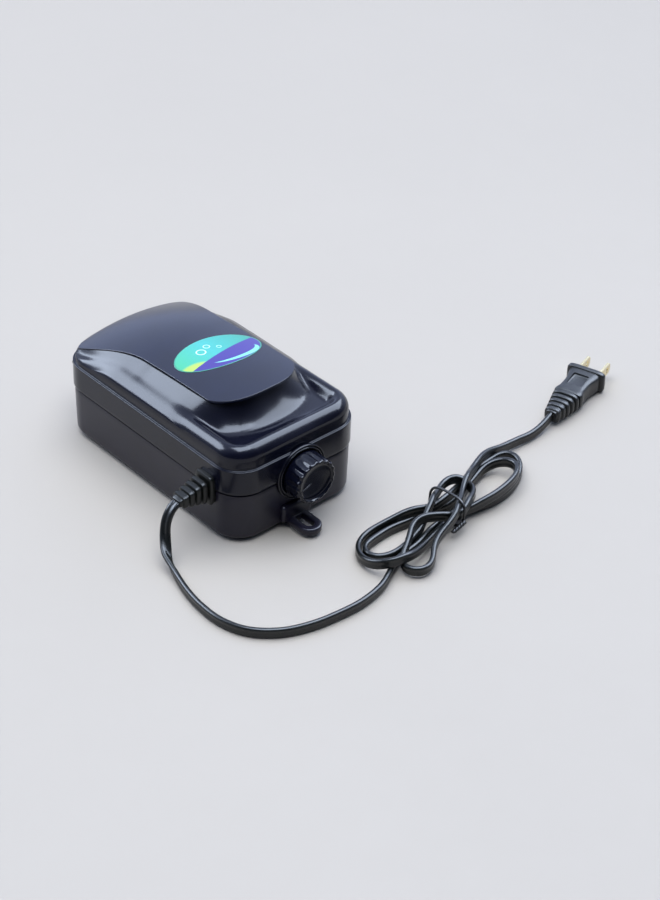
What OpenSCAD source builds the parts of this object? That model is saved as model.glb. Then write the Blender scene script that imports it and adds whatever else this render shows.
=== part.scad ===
// Aquarium air pump: a dark moulded case with an overhanging top panel, a flow control knob,
// a slotted hanging tab, two air outlets and a two-blade mains cord tied in a hank.
// Inside: an electromagnet, two magnet arms, two rubber diaphragms and two valve chambers.
// Millimetres, +Z up. The knob faces -Y, the outlets +Y, the cord leaves on the -X side.

/* [Body] */
// length of the case, front to back
body_l = 150; // [120:1:180]
// width of the case
body_w = 90; // [70:1:110]
// plan corner radius
corner_r = 17.5; // [8:0.5:25]
// height of the seam between the two housings, above the floor
seam_z = 32; // [25:0.5:45]
// height of the ledge round the upper housing
ledge_z = 47; // [40:0.5:60]
// top of the rounded rim
rim_z = 59.5; // [50:0.5:70]
// radius of the rounded rim
rim_r = 5; // [2:0.5:8]
// wall thickness of both housings
wall = 2.5; // [1.5:0.1:4]
// height of the rubber feet
foot_h = 2; // [1:0.5:5]

/* [Top panel] */
// half width of the panel at its front
panel_hw = 29.1; // [20:1:38]
// highest point of the panel, above the floor
panel_z = 71.8; // [60:0.1:80]
// front edge of the panel
panel_front = -49.3; // [-60:1:-30]

/* [Knob] */
// knob radius
knob_r = 13.3; // [8:0.1:20]
// front face of the knob
knob_face = -88.2; // [-100:0.1:-80]
// number of grip flutes
flutes = 20; // [8:1:40]
// radius of the ring round the knob
ring_r = 16.3; // [12:0.1:24]
// height of the knob axis
knob_z = 32.5; // [25:0.5:40]
// where the pointer stands: turned clockwise from straight down
pointer = 74; // [0:1:300]

/* [Air outlets] */
// outlet spacing
outlet_gap = 44; // [20:1:54]
// radius of the part that takes the air line
outlet_r = 2.4; // [1.5:0.1:4]
// height of the outlets
outlet_z = 24; // [12:1:30]
// tip of the outlets
outlet_tip = 93; // [80:1:100]

/* [Motor] */
// swing arm pivot, distance from the middle
pivot_x = 11.5; // [8:0.5:16]
// swing arm pivot, towards the back
pivot_y = 42; // [30:1:50]
// height of the middle of the arms
arm_z = 24; // [18:1:30]

/* [Mains cord] */
// width of the flat cord
cord_w = 6; // [4:0.1:8]
// thickness of the flat cord
cord_t = 3; // [2:0.1:4]
// turn of the plug on the floor
plug_turn = 18; // [0:1:45]

/* [Hidden] */
$fn = 64;
hw = body_w / 2;
hl = body_l / 2;
floor_z = foot_h;
lower_inset = 0.7;
ledge_step = 1.4;
tray_z = rim_z - 5.5;
slot_x = -3;
plug_at = [210, -85];
posts = [[-37, -30], [37, -30], [-37, 46], [37, 46]];
feet_at = [[-33, -60], [33, -60], [-33, 60], [33, 60]];
// middle line of the loose cord, from the strain relief to the hank, and on to the plug
lead_path = [[-69, -52, 30.5], [-72.5, -52, 27], [-75, -53, 20], [-77, -56.5, 12], [-80, -63, 6],
    [-83, -74, 3.4], [-87, -88, 3.2], [-89, -102, 3.2], [-88.5, -117, 3.2], [-83, -131, 3.2],
    [-71, -142, 3.2], [-56, -148, 3.2], [-40, -150.5, 3.2], [-24, -151, 3.2], [-8, -148, 3.2],
    [4, -142, 3.2], [11, -137, 3.4]];
tail_path = [[98, -107.5, 10], [110, -103.5, 8.6], [122, -101.5, 6], [134, -101.5, 4.2],
    [146, -102.5, 3.6], [157, -101.5, 4.6], [166.8, -99, 6]];

// ---------- shared shapes ----------

// rounded block: a profile of [distance out from the corner centre, z] carried round a rectangle
module carried(cx, y0, y1, pts) {
    for (x = [-cx, cx], y = [y0, y1]) translate([x, y, 0]) rotate_extrude() polygon(pts);
    translate([0, y1, 0]) rotate([90, 0, 0]) linear_extrude(y1 - y0)
        polygon(concat([for (p = pts) [cx + p[0], p[1]]],
            [for (i = [len(pts) - 1:-1:0]) [-cx - pts[i][0], pts[i][1]]]));
    translate([-cx, 0, 0]) rotate([90, 0, 90]) linear_extrude(2 * cx)
        polygon(concat([for (p = pts) [y1 + p[0], p[1]]],
            [for (i = [len(pts) - 1:-1:0]) [y0 - pts[i][0], pts[i][1]]]));
}

// plain rounded block of the case plan, drawn in by d
module plan(d, z0, z1) {
    r = corner_r - d;
    carried(hw - corner_r, -hl + corner_r, hl - corner_r, [[0, z0], [r, z0], [r, z1], [0, z1]]);
}

// points of an arc in a profile
function arc(cx, cy, r, a0, a1, n) = [for (i = [0:n]) let (a = a0 + (a1 - a0) * i / n)
    [cx + r * cos(a), cy + r * sin(a)]];

// cylinder along Y from y0 to y1
module ycyl(r, y0, y1, x = 0, z = 0) translate([x, y1, z]) rotate([90, 0, 0]) cylinder(r = r, h = y1 - y0);
// cylinder along X from x0 to x1
module xcyl(r, x0, x1, y = 0, z = 0) translate([x0, y, z]) rotate([0, 90, 0]) cylinder(r = r, h = x1 - x0);
// block from one corner to the other
module block(a, b) translate(a) cube(b - a);

// ---------- case ----------

module base_housing() color([0.05, 0.05, 0.09]) {
    r = corner_r - lower_inset;
    difference() {
        union() {
            carried(hw - corner_r, -hl + corner_r, hl - corner_r,
                concat([[0, floor_z], [r - 3, floor_z]], arc(r - 3, floor_z + 3, 3, -75, 0, 5),
                    [[r, seam_z], [0, seam_z]]));
            // hanging tab: root on the front wall and a slotted tongue
            block([slot_x - 11, -78.5, 4], [slot_x + 11, -73, 15]);
            block([slot_x - 6.5, -86.5, floor_z], [slot_x + 6.5, -73, 6.5]);
            translate([slot_x, -86.5, floor_z]) cylinder(r = 6.5, h = 4.5);
        }
        difference() {
            plan(lower_inset + wall, floor_z + wall, seam_z + 1);
            for (p = posts) translate([p[0], p[1], 0]) cylinder(r = 4, h = seam_z - 0.1);
            // screw columns for the core bracket
            for (x = [-27, 27]) translate([x, -26, 0]) cylinder(r = 3, h = 10);
        }
        // slot of the tab
        block([slot_x - 2.5, -86.5, 0], [slot_x + 2.5, -78.5, 20]);
        translate([slot_x, -86.5, 0]) cylinder(r = 2.5, h = 20);
        // screw holes with head pockets
        for (p = posts) translate([p[0], p[1], 0]) {
            cylinder(r = 1.8, h = 60);
            cylinder(r = 3.4, h = 8);
        }
        for (x = [-27, 27]) translate([x, -26, 5]) cylinder(r = 1.2, h = 10);
        // pockets for the feet
        for (p = feet_at) translate([p[0], p[1], 0]) cylinder(r = 5, h = floor_z + 1);
        // air inlet: felt pocket and holes through the floor
        translate([0, 20, 0]) cylinder(r = 11, h = floor_z + 1.5);
        for (a = [0:60:300]) translate([6 * cos(a), 20 + 6 * sin(a), 0]) cylinder(r = 1.5, h = 10);
        // knob axis, ring seat, cord opening and outlet holes
        ycyl(4.6, -80, -60, 0, knob_z);
        block([-60, -58, 24], [-35, -46, 60]);
        for (s = [-1, 1]) ycyl(3, 60, 80, s * outlet_gap / 2, outlet_z);
    }
}

module upper_housing() color([0.06, 0.06, 0.11]) {
    r2 = corner_r - ledge_step;
    difference() {
        union() {
            // band between the seam and the ledge
            plan(0, seam_z, ledge_z);
            // walls, rounded rim and the tray inside it
            intersection() {
                union() {
                    difference() {
                        carried(hw - corner_r, -hl + corner_r, hl - corner_r,
                            concat([[0, ledge_z - 1], [r2, ledge_z - 1]],
                                arc(r2 - rim_r, rim_z - rim_r, rim_r, 0, 90, 8), [[0, rim_z]]));
                        carried(hw - 2 * corner_r + 7, -hl + 2 * corner_r - 7, hl + 30,
                            [[0, tray_z], [r2 - rim_r - 3, tray_z], [r2 - rim_r, tray_z + 3.5],
                                [r2 - rim_r + 1.5, rim_z + 1], [0, rim_z + 1]]);
                    }
                    mound();
                }
                side_profile();
            }
        }
        // inside of the case
        difference() {
            union() {
                plan(wall, seam_z - 1, ledge_z - 2);
                plan(ledge_step + wall, seam_z - 1, tray_z - 6);
            }
            for (p = posts) translate([p[0], p[1], 0]) cylinder(r = 4, h = 60);
        }
        // hollow under the raised middle
        intersection() {
            carried(14, -34, hl - 22, [[0, 40], [17, 40], [17, 55], [11, 62], [0, 62]]);
            under_panel(-3);
        }
        for (p = posts) translate([p[0], p[1], 0]) cylinder(r = 1.45, h = 46);
        // knob axis, ring seat and cord opening
        ycyl(4.6, -80, -60, 0, knob_z);
        ycyl(ring_r + 0.1, -80, -hl + lower_inset, 0, knob_z);
        block([-60, -58, 20], [-35, -46, 38]);
    }
}

// raised middle of the upper housing: rises from the tray to the underside of the panel
module mound() {
    intersection() {
        carried(14, -37, 90, concat([[0, tray_z - 1], [23, tray_z - 1], [22, tray_z]],
            arc(22, tray_z + 7, 7, -90, -135, 4), arc(9, tray_z + 6, 8, 20, 90, 6),
            [[0, tray_z + 14]]));
        // never above the panel's underside
        under_panel(0);
    }
}

// everything below the underside of the panel, moved by d
module under_panel(d) translate([-60, 0, 0]) rotate([90, 0, 90]) linear_extrude(120)
    polygon(concat([[hl, 0], [-hl, 0]],
        [for (i = [0:24]) let (y = -hl + 2 * hl * i / 24) [y, panel_under(y) + d]]));

// the case drops towards the back
module side_profile() translate([-60, 0, 0]) rotate([90, 0, 90]) linear_extrude(120)
    polygon(concat([[hl, 0], [-hl, 0], [-hl, 80]],
        [for (i = [0:12]) let (y = -20 + (hl - 1.4 + 20) * i / 12) [y, panel_mid(y) - 1.5]],
        [[hl, 46]]));

// height of the panel's top along its middle, and its crown across
function panel_mid(y) = panel_z - 0.0006 * pow(y + 44, 2) - 0.0031 * pow(max(0, y - 20), 2);
function crown(x) = x * x / 264;
function panel_flare(y) = let (t = min(1, max(0, (y - 20) / 50))) panel_hw + 8 * t * t * (3 - 2 * t);
function corner_limit(y) = let (c = body_l / 2 - corner_r, r = corner_r - 1.4)
    y < c ? body_w / 2 : body_w / 2 - corner_r + sqrt(max(0, r * r - (y - c) * (y - c))) - 1.2;
function panel_half(y) = min(panel_flare(y), corner_limit(y));
function panel_under(y) = panel_mid(y) - crown(panel_half(y)) - 1.6;
function front_edge(u) = panel_front + 16 * (1 - pow(1 - pow(abs(u), 2.65), 0.68));

// free-form plate: columns across, rows back, top and bottom skins joined at the rim
module top_panel() color([0.10, 0.11, 0.16]) {
    nu = 20;
    nv = 20;
    back = 72.2;
    q = [for (j = [0:nv], i = [0:nu]) let (u = -1 + 2 * i / nu, f = front_edge(u),
        y = f + (back - f) * j / nv) [u * panel_half(y), y]];
    n = (nu + 1) * (nv + 1);
    pts = concat([for (p = q) [p[0], p[1], panel_mid(p[1]) - crown(p[0])]],
        [for (p = q) [p[0], p[1], panel_under(p[1]) - 0.1]]);
    w = nu + 1;
    faces = concat(
        [for (j = [0:nv - 1], i = [0:nu - 1]) let (a = j * w + i) [a, a + w, a + w + 1]],
        [for (j = [0:nv - 1], i = [0:nu - 1]) let (a = j * w + i) [a, a + w + 1, a + 1]],
        [for (j = [0:nv - 1], i = [0:nu - 1]) let (a = n + j * w + i) [a, a + w + 1, a + w]],
        [for (j = [0:nv - 1], i = [0:nu - 1]) let (a = n + j * w + i) [a, a + 1, a + w + 1]],
        [for (i = [0:nu - 1]) [i, i + 1, n + i + 1, n + i]],
        [for (i = [0:nu - 1]) let (a = nv * w + i) [a + 1, a, n + a, n + a + 1]],
        [for (j = [0:nv - 1]) let (a = j * w) [a + w, a, n + a, n + a + w]],
        [for (j = [0:nv - 1]) let (a = j * w + nu) [a, a + w, n + a + w, n + a]]);
    polyhedron(pts, faces);
}

// elliptical sticker that follows the panel
module label() color([0.1, 0.75, 0.7]) {
    nr = 4;
    na = 36;
    c = [2.5, -3.5];
    a = 26;
    b = 14.5;
    ring = [for (k = [1:nr], i = [0:na - 1]) let (t = 360 * i / na, s = k / nr)
        [c[0] + a * s * cos(t), c[1] + b * s * sin(t) - 0.08 * a * s * cos(t)]];
    flat = concat([c], ring);
    n = len(flat);
    pts = concat([for (p = flat) [p[0], p[1], panel_mid(p[1]) - crown(p[0]) + 0.2]],
        [for (p = flat) [p[0], p[1], panel_mid(p[1]) - crown(p[0]) - 0.15]]);
    faces = concat(
        [for (i = [0:na - 1]) [0, 1 + (i + 1) % na, 1 + i]],
        [for (k = [0:nr - 2], i = [0:na - 1]) let (p = 1 + k * na, j = (i + 1) % na)
            [p + i, p + j, p + na + j]],
        [for (k = [0:nr - 2], i = [0:na - 1]) let (p = 1 + k * na, j = (i + 1) % na)
            [p + i, p + na + j, p + na + i]],
        [for (i = [0:na - 1]) [n, n + 1 + i, n + 1 + (i + 1) % na]],
        [for (k = [0:nr - 2], i = [0:na - 1]) let (p = n + 1 + k * na, j = (i + 1) % na)
            [p + i, p + na + j, p + j]],
        [for (k = [0:nr - 2], i = [0:na - 1]) let (p = n + 1 + k * na, j = (i + 1) % na)
            [p + i, p + na + i, p + na + j]],
        [for (i = [0:na - 1]) let (p = 1 + (nr - 1) * na, j = (i + 1) % na)
            [p + i, p + j, n + p + j, n + p + i]]);
    polyhedron(pts, faces);
}

// ---------- flow control ----------

module knob_ring() color([0.05, 0.05, 0.08]) difference() {
    ycyl(ring_r, -76.4, -hl + lower_inset, 0, knob_z);
    ycyl(ring_r - 2.2, -80, -75.6, 0, knob_z);
    ycyl(5, -80, -70, 0, knob_z);
}

module knob() color([0.06, 0.07, 0.12]) difference() {
    ycyl(knob_r, knob_face, -76.7, 0, knob_z);
    // grip flutes
    for (i = [0:flutes - 1]) rotate_about(i * 360 / flutes)
        ycyl(1.1, knob_face - 1, -78.5, knob_r + 0.45, knob_z);
    // dished end with a raised pointer bar left standing
    difference() {
        ycyl(knob_r - 2.4, knob_face - 1, knob_face + 1.6, 0, knob_z);
        rotate_about(pointer) block([-0.6, knob_face + 0.8, knob_z - 10], [0.6, knob_face + 2, knob_z - 3]);
    }
    // hollow back, and the bore for the shaft
    difference() {
        ycyl(knob_r - 2.6, knob_face + 4.2, -76, 0, knob_z);
        ycyl(5.2, knob_face + 2, -80.2, 0, knob_z);
    }
    ycyl(3, knob_face + 3.2, -76, 0, knob_z);
}

module rotate_about(a) translate([0, 0, knob_z]) rotate([0, a, 0]) translate([0, 0, -knob_z]) children();

module pot_shaft() color([0.75, 0.75, 0.78]) union() {
    ycyl(3, knob_face + 3.2, -63, 0, knob_z);
    ycyl(6, -63, -61.5, 0, knob_z);
}

module pot_body() color([0.35, 0.36, 0.38]) difference() {
    union() {
        ycyl(8, -70.5, -58, 0, knob_z);
        ycyl(4.4, -78.2, -70, 0, knob_z);
    }
    ycyl(3.05, -80, -60, 0, knob_z);
    ycyl(6.3, -63.3, -61.2, 0, knob_z);
}

module pot_nut() color([0.7, 0.7, 0.72]) difference() {
    translate([0, -75.6, knob_z]) rotate([90, 0, 0]) cylinder(r = 6.3, h = 2, $fn = 6);
    ycyl(4.4, -80, -70, 0, knob_z);
}

module circuit_board() color([0.1, 0.35, 0.18]) union() {
    block([-26, -58, 12], [26, -56.4, 46]);
    // capacitor, resistors and a diode on the back
    ycyl(4, -56.4, -47, 16, 36);
    block([-20, -56.4, 18], [-12, -52, 22]);
    block([-20, -56.4, 26], [-14, -53.4, 30]);
    ycyl(2, -56.4, -51, 6, 18);
}

// insulated wires: eight-sided tubes along short routes
module wire(pts, r = 0.7) {
    m = 8;
    n = len(pts);
    ring = [for (i = [0:n - 1]) let (t = dir_at(pts, i), w = across(pts, i, 0), v = cross(t, w))
        for (k = [0:m - 1]) let (a = 360 * k / m) pts[i] + w * (r * cos(a)) + v * (r * sin(a))];
    polyhedron(ring, concat([[for (k = [m - 1:-1:0]) k]], [[for (k = [0:m - 1]) (n - 1) * m + k]],
        [for (i = [0:n - 2], k = [0:m - 1]) let (a = i * m + k, b = i * m + (k + 1) % m)
            [a, b, b + m, a + m]]));
}

module lead_wires() color([0.7, 0.12, 0.1]) {
    wire([[-39, -53, 33], [-34, -53, 33], [-32, -60, 33], [-24, -59.2, 30]]);
    wire([[-39, -51, 29], [-33, -51, 28], [-31, -60, 25], [-24, -59.2, 20]]);
    wire([[20, -55.7, 20], [20, -46, 24], [12, -45, 40], [10, -36.5, 43], [8, -31.5, 42.5]]);
    wire([[23, -55.7, 24], [23, -45.5, 28], [16, -44.5, 41], [14, -36.5, 43], [12, -31.5, 42.5]]);
}

// ---------- electromagnet ----------

module magnet_core() color([0.45, 0.45, 0.48]) union() {
    block([-23, -42, 14], [23, -34.5, 34]);
    block([-6, -35, 14], [6, -10, 34]);
    for (s = [-1, 1]) block([s * 20 - 3, -35, 14], [s * 20 + 3, -10, 34]);
}

module bobbin() color([0.85, 0.83, 0.75]) difference() {
    union() {
        block([-7.2, -34, 12.8], [7.2, -12, 35.2]);
        for (y = [-34, -13.4]) block([-16, y, 6.5], [16, y + 1.4, 41.5]);
    }
    block([-6.1, -36, 13.9], [6.1, -8, 34.1]);
}

module winding() color([0.72, 0.4, 0.2]) difference() {
    block([-14.5, -32.4, 8], [14.5, -13.6, 40]);
    block([-7.3, -40, 12.7], [7.3, 0, 35.3]);
}

module core_bracket() color([0.6, 0.6, 0.63]) difference() {
    union() {
        block([-31, -30.5, 10], [31, -21.5, 11.2]);
        for (s = [-1, 1]) block([s * 23.8 - 0.7, -30.5, 10], [s * 23.8 + 0.7, -21.5, 34]);
    }
    block([-16.2, -34, 5], [16.2, -12, 20]);
    for (x = [-27, 27]) translate([x, -26, 5]) cylinder(r = 1.7, h = 10);
}

module bracket_screws() color([0.7, 0.7, 0.72])
    for (x = [-27, 27]) translate([x, -26, 0]) screw(11.2, 5.5, 1.2, 2.4);

// pan-head screw: head under side at z1, tip at z0
module screw(z1, z0, r, hr) union() {
    translate([0, 0, z0]) cylinder(r = r, h = z1 - z0 + 0.2);
    difference() {
        translate([0, 0, z1]) cylinder(r = hr, h = 1.6);
        translate([-hr * 0.6, -0.3, z1 + 0.9]) cube([hr * 1.2, 0.6, 2]);
        translate([-0.3, -hr * 0.6, z1 + 0.9]) cube([0.6, hr * 1.2, 2]);
    }
}

// ---------- swing arms and air side ----------

module arm_bracket() color([0.6, 0.6, 0.63]) union() {
    block([-18, 36, floor_z + wall], [18, 48, 14]);
    for (s = [-1, 1]) translate([s * pivot_x, pivot_y, 12]) cylinder(r = 1.5, h = 23.5);
}

module arm(s) difference() {
    union() {
        block([s * pivot_x - 1.5, -2, arm_z - 7], [s * pivot_x + 1.5, 40, arm_z + 7]);
        translate([s * pivot_x, pivot_y, 14.5]) cylinder(r = 4, h = 19);
        // frame round the magnet
        block([s * pivot_x - 6, -2.5, arm_z - 9], [s * pivot_x + 6, -0.5, arm_z + 9]);
        // stud that drives the diaphragm
        xcyl(2.5, s > 0 ? pivot_x : -19.9, s > 0 ? 19.9 : -pivot_x, 8, arm_z);
    }
    translate([s * pivot_x, pivot_y, 10]) cylinder(r = 1.55, h = 30);
}

module arm_left() color([0.8, 0.8, 0.82]) arm(-1);
module arm_right() color([0.8, 0.8, 0.82]) arm(1);

module magnet(s) block([s * pivot_x - 5, -8.5, arm_z - 8], [s * pivot_x + 5, -2.5, arm_z + 8]);
module magnet_left() color([0.25, 0.25, 0.27]) magnet(-1);
module magnet_right() color([0.25, 0.25, 0.27]) magnet(1);

// rubber cup, closed end driven by the arm, open rim on the valve chamber
module cup(s) translate([s * 30, 8, arm_z]) rotate([0, s * -90, 0]) rotate_extrude()
    polygon([[0, 10], [7, 10], [9, 8.2], [9.6, 5], [12.5, 2.5], [14, 2.5], [14, 0], [11.5, 0],
        [10.6, 1.4], [8.2, 4.2], [7.6, 7.2], [6.4, 8.6], [0, 8.6]]);
module diaphragm_left() color([0.08, 0.08, 0.08]) cup(-1);
module diaphragm_right() color([0.08, 0.08, 0.08]) cup(1);

module chamber(s) difference() {
    union() {
        block([s * 35.25 - 5.25, -8, 10], [s * 35.25 + 5.25, 24, 38.5]);
        // outlet spigot for the hose
        ycyl(2, 23, 30, s * 33, outlet_z);
        // foot
        block([s * 35.25 - 5.25, -4, floor_z + wall], [s * 35.25 + 5.25, 20, 11]);
    }
    // pumping space and valve passages
    xcyl(9, s > 0 ? 28 : -33, s > 0 ? 33 : -28, 8, arm_z);
    ycyl(1.2, 14, 40, s * 33, outlet_z);
    block([s * 37 - 2, -4, 14], [s * 37 + 2, 20, 34]);
    for (y = [4, 12]) xcyl(1.2, s > 0 ? 32 : -36, s > 0 ? 36 : -32, y, arm_z + 3);
}
module chamber_left() color([0.8, 0.8, 0.82]) chamber(-1);
module chamber_right() color([0.8, 0.8, 0.82]) chamber(1);

// thin rubber flaps: one inlet and one outlet flap in each chamber
module flap_valves() color([0.1, 0.1, 0.1]) for (s = [-1, 1]) {
    xcyl(2.4, s > 0 ? 35 : -35.6, s > 0 ? 35.6 : -35, 4, arm_z + 3);
    xcyl(2.4, s > 0 ? 32.4 : -33, s > 0 ? 33 : -32.4, 12, arm_z + 3);
}

// hollow hose: outer and inner wall carried along an easy S from the chamber to the outlet
function ease(t) = let (q = min(1, max(0, t))) q * q * (3 - 2 * q);
module hose(s) {
    m = 16;
    n = 17;
    mid = [for (i = [0:n - 1]) let (y = 24.2 + 46.3 * i / (n - 1))
        [s * (33 - (33 - outlet_gap / 2) * ease((y - 31) / 27)), y, outlet_z]];
    wall_pts = [for (r = [3, 2.15], i = [0:n - 1]) let (t = dir_at(mid, i), w = cross(t, [0, 0, 1]))
        for (k = [0:m - 1]) let (a = 360 * k / m) mid[i] + unit(w) * (r * cos(a)) + [0, 0, r * sin(a)]];
    q = n * m;
    polyhedron(wall_pts, concat(
        [for (i = [0:n - 2], k = [0:m - 1]) let (a = i * m + k, b = i * m + (k + 1) % m)
            [a, a + m, b + m, b]],
        [for (i = [0:n - 2], k = [0:m - 1]) let (a = q + i * m + k, b = q + i * m + (k + 1) % m)
            [a, b, b + m, a + m]],
        [for (k = [0:m - 1]) let (b = (k + 1) % m) [k, b, q + b, q + k]],
        [for (k = [0:m - 1]) let (a = (n - 1) * m + k, b = (n - 1) * m + (k + 1) % m)
            [b, a, q + a, q + b]]));
}
module air_hose_left() color([0.75, 0.8, 0.8]) hose(-1);
module air_hose_right() color([0.75, 0.8, 0.8]) hose(1);

// outlet: spigot for the hose, flange on the back wall and a tip for the air line
module outlet(s) translate([s * outlet_gap / 2, 0, outlet_z]) rotate([-90, 0, 0]) rotate_extrude()
    polygon([[1.3, 60], [2, 60], [2, 71], [2.95, 71], [2.95, 74.3], [5, 74.3], [5, 76.3],
        [outlet_r, 76.3], [outlet_r, 90], [1.9, outlet_tip], [1.3, outlet_tip]]);
module air_outlet_left() color([0.05, 0.05, 0.06]) outlet(-1);
module air_outlet_right() color([0.05, 0.05, 0.06]) outlet(1);

module inlet_felt() color([0.85, 0.85, 0.8]) translate([0, 20, floor_z + 0.4]) cylinder(r = 10, h = 1.1);
module inlet_cap() color([0.05, 0.05, 0.06]) translate([0, 20, floor_z - 0.6]) difference() {
    cylinder(r = 11, h = 1);
    for (a = [0:60:300]) translate([6 * cos(a), 6 * sin(a), -1]) cylinder(r = 1.5, h = 3);
}

// ---------- feet and screws ----------

module rubber_feet() color([0.1, 0.1, 0.1]) for (p = feet_at) translate([p[0], p[1], 0])
    rotate_extrude() polygon([[0, 0], [5.4, 0], [6.4, 1], [6.4, floor_z], [5, floor_z],
        [5, floor_z + 1], [0, floor_z + 1]]);

module case_screws() color([0.7, 0.7, 0.72]) for (p = posts) translate([p[0], p[1], 0])
    mirror([0, 0, 1]) screw(-8, -44, 1.45, 2.8);

// ---------- mains cord ----------

module strain_relief() color([0.03, 0.03, 0.03]) union() {
    block([-48, -60, 20], [-45, -44, 42]);
    block([-46, -57.8, 24.2], [-40.5, -46.2, 37.6]);
    block([-41.7, -60, 22], [-40, -44, 40]);
    block([-70, -54.5, 27], [-46, -49.5, 35]);
    for (i = [0:4]) block([-52.5 - 4.2 * i, -52 - 6 + 0.7 * i, 31 - 8 + 0.75 * i],
        [-49.8 - 4.2 * i, -52 + 6 - 0.7 * i, 31 + 8 - 0.75 * i]);
}

// flat cord carried along a path; lean turns its width from upright (0) to level (1)
function unit(v) = v / norm(v);
function dir_at(p, i) = unit(p[min(len(p) - 1, i + 1)] - p[max(0, i - 1)]);
function across(p, i, lean) = let (t = dir_at(p, i), a = [0, lean, 1 - lean], b = a - t * (a * t))
    unit(b);
module flat_cord(p, leans) {
    m = 10;
    n = len(p);
    pts = [for (i = [0:n - 1]) let (t = dir_at(p, i), w = across(p, i, leans[i]), v = cross(t, w))
        for (k = [0:m - 1]) let (a = 360 * k / m + 18)
            p[i] + w * (cord_w / 2 * max(-1, min(1, 1.15 * cos(a)))) +
            v * (cord_t / 2 * max(-1, min(1, 1.35 * sin(a))))];
    faces = concat([[for (k = [m - 1:-1:0]) k]], [[for (k = [0:m - 1]) (n - 1) * m + k]],
        [for (i = [0:n - 2], k = [0:m - 1]) let (a = i * m + k, b = i * m + (k + 1) % m)
            [a, b, b + m, a + m]]);
    polyhedron(pts, faces);
}

module cord_lead() color([0.03, 0.03, 0.03]) flat_cord(lead_path,
    [for (i = [0:len(lead_path) - 1]) i < 2 ? 0 : 0]);
module cord_tail() color([0.03, 0.03, 0.03]) flat_cord(tail_path,
    [for (i = [0:len(tail_path) - 1]) 0]);

// outer shape of the tied hank
module cord_hank() color([0.04, 0.04, 0.04]) union() {
    translate([18, -123, 0.2]) cylinder(r = 17.5, h = 12);
    translate([110, -114, 0.2]) cylinder(r = 15.5, h = 12);
    translate([64, -120, 0.2]) rotate([0, 0, 5.6]) translate([-46, -11, 0]) cube([92, 22, 13]);
    translate([27, -141, 0.2]) cylinder(r = 11, h = 14);
}

module cord_tie() color([0.02, 0.02, 0.02]) translate([66, -119.8, 0]) rotate([0, 0, 5.6])
    difference() {
        block([-1.2, -12, 0], [1.2, 12, 14.2]);
        block([-2, -11, 0.2], [2, 11, 13.2]);
    }

// plug: flange, waisted grip and ribbed tail, in its own frame with the blades towards +X
module placed() translate([plug_at[0], plug_at[1], 0]) rotate([0, 0, plug_turn]) children();

module plug_body() color([0.03, 0.03, 0.03]) placed() union() {
    // flange with round corners
    translate([-3, 0, 0]) for (s = [-1, 1]) {
        xcyl(3.5, 0, 3, s * 8.2, 3.5);
        xcyl(3.5, 0, 3, s * 8.2, 10);
    }
    block([-3, -11.7, 3.5], [0, 11.7, 10]);
    block([-3, -8.2, 0], [0, 8.2, 13.5]);
    // waisted body
    translate([0, 0, 0.4]) linear_extrude(12.6) polygon([[-3, -9.6], [-3, 9.6], [-9, 9], [-14, 8],
        [-19, 8], [-24, 8.6], [-26, 7.6], [-26, -7.6], [-24, -8.6], [-19, -8], [-14, -8], [-9, -9]]);
    // ribbed tail
    block([-46, -4.6, 1.6], [-25, 4.6, 10.6]);
    for (i = [0:4]) block([-29.4 - 4 * i, -8.4 + 0.7 * i, 0.3 + 0.1 * i],
        [-26.8 - 4 * i, 8.4 - 0.7 * i, 12.6 - 0.5 * i]);
}

module plug_blades() color([0.85, 0.8, 0.6]) placed() for (s = [-1, 1])
    difference() {
        union() {
            block([-6, s * 6.35 - 0.75, 3.6], [15, s * 6.35 + 0.75, 9.9]);
            block([14, s * 6.35 - 0.75, 4.6], [16, s * 6.35 + 0.75, 8.9]);
        }
        translate([12, s * 6.35 + 2, 6.75]) rotate([90, 0, 0]) cylinder(r = 1.5, h = 4);
    }

base_housing();
upper_housing();
top_panel();
label();
knob_ring();
knob();
pot_shaft();
pot_body();
pot_nut();
circuit_board();
lead_wires();
magnet_core();
bobbin();
winding();
core_bracket();
bracket_screws();
arm_bracket();
arm_left();
arm_right();
magnet_left();
magnet_right();
diaphragm_left();
diaphragm_right();
chamber_left();
chamber_right();
flap_valves();
air_hose_left();
air_hose_right();
air_outlet_left();
air_outlet_right();
inlet_felt();
inlet_cap();
rubber_feet();
case_screws();
strain_relief();
cord_lead();
cord_hank();
cord_tie();
cord_tail();
plug_body();
plug_blades();
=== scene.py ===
import math

import bmesh
import bpy
import numpy as np
from mathutils import Matrix, Vector


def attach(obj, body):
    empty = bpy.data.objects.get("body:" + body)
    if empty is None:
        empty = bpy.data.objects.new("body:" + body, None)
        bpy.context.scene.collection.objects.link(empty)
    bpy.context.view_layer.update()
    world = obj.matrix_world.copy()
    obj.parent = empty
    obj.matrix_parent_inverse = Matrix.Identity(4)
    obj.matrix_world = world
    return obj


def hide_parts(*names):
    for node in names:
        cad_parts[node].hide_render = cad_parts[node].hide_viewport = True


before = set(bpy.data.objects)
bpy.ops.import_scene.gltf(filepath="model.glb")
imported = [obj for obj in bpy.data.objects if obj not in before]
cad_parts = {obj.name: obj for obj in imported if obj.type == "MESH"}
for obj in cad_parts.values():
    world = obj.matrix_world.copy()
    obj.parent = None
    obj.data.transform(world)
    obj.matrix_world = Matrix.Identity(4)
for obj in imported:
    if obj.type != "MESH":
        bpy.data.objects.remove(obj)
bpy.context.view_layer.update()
MM = 0.001

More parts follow.
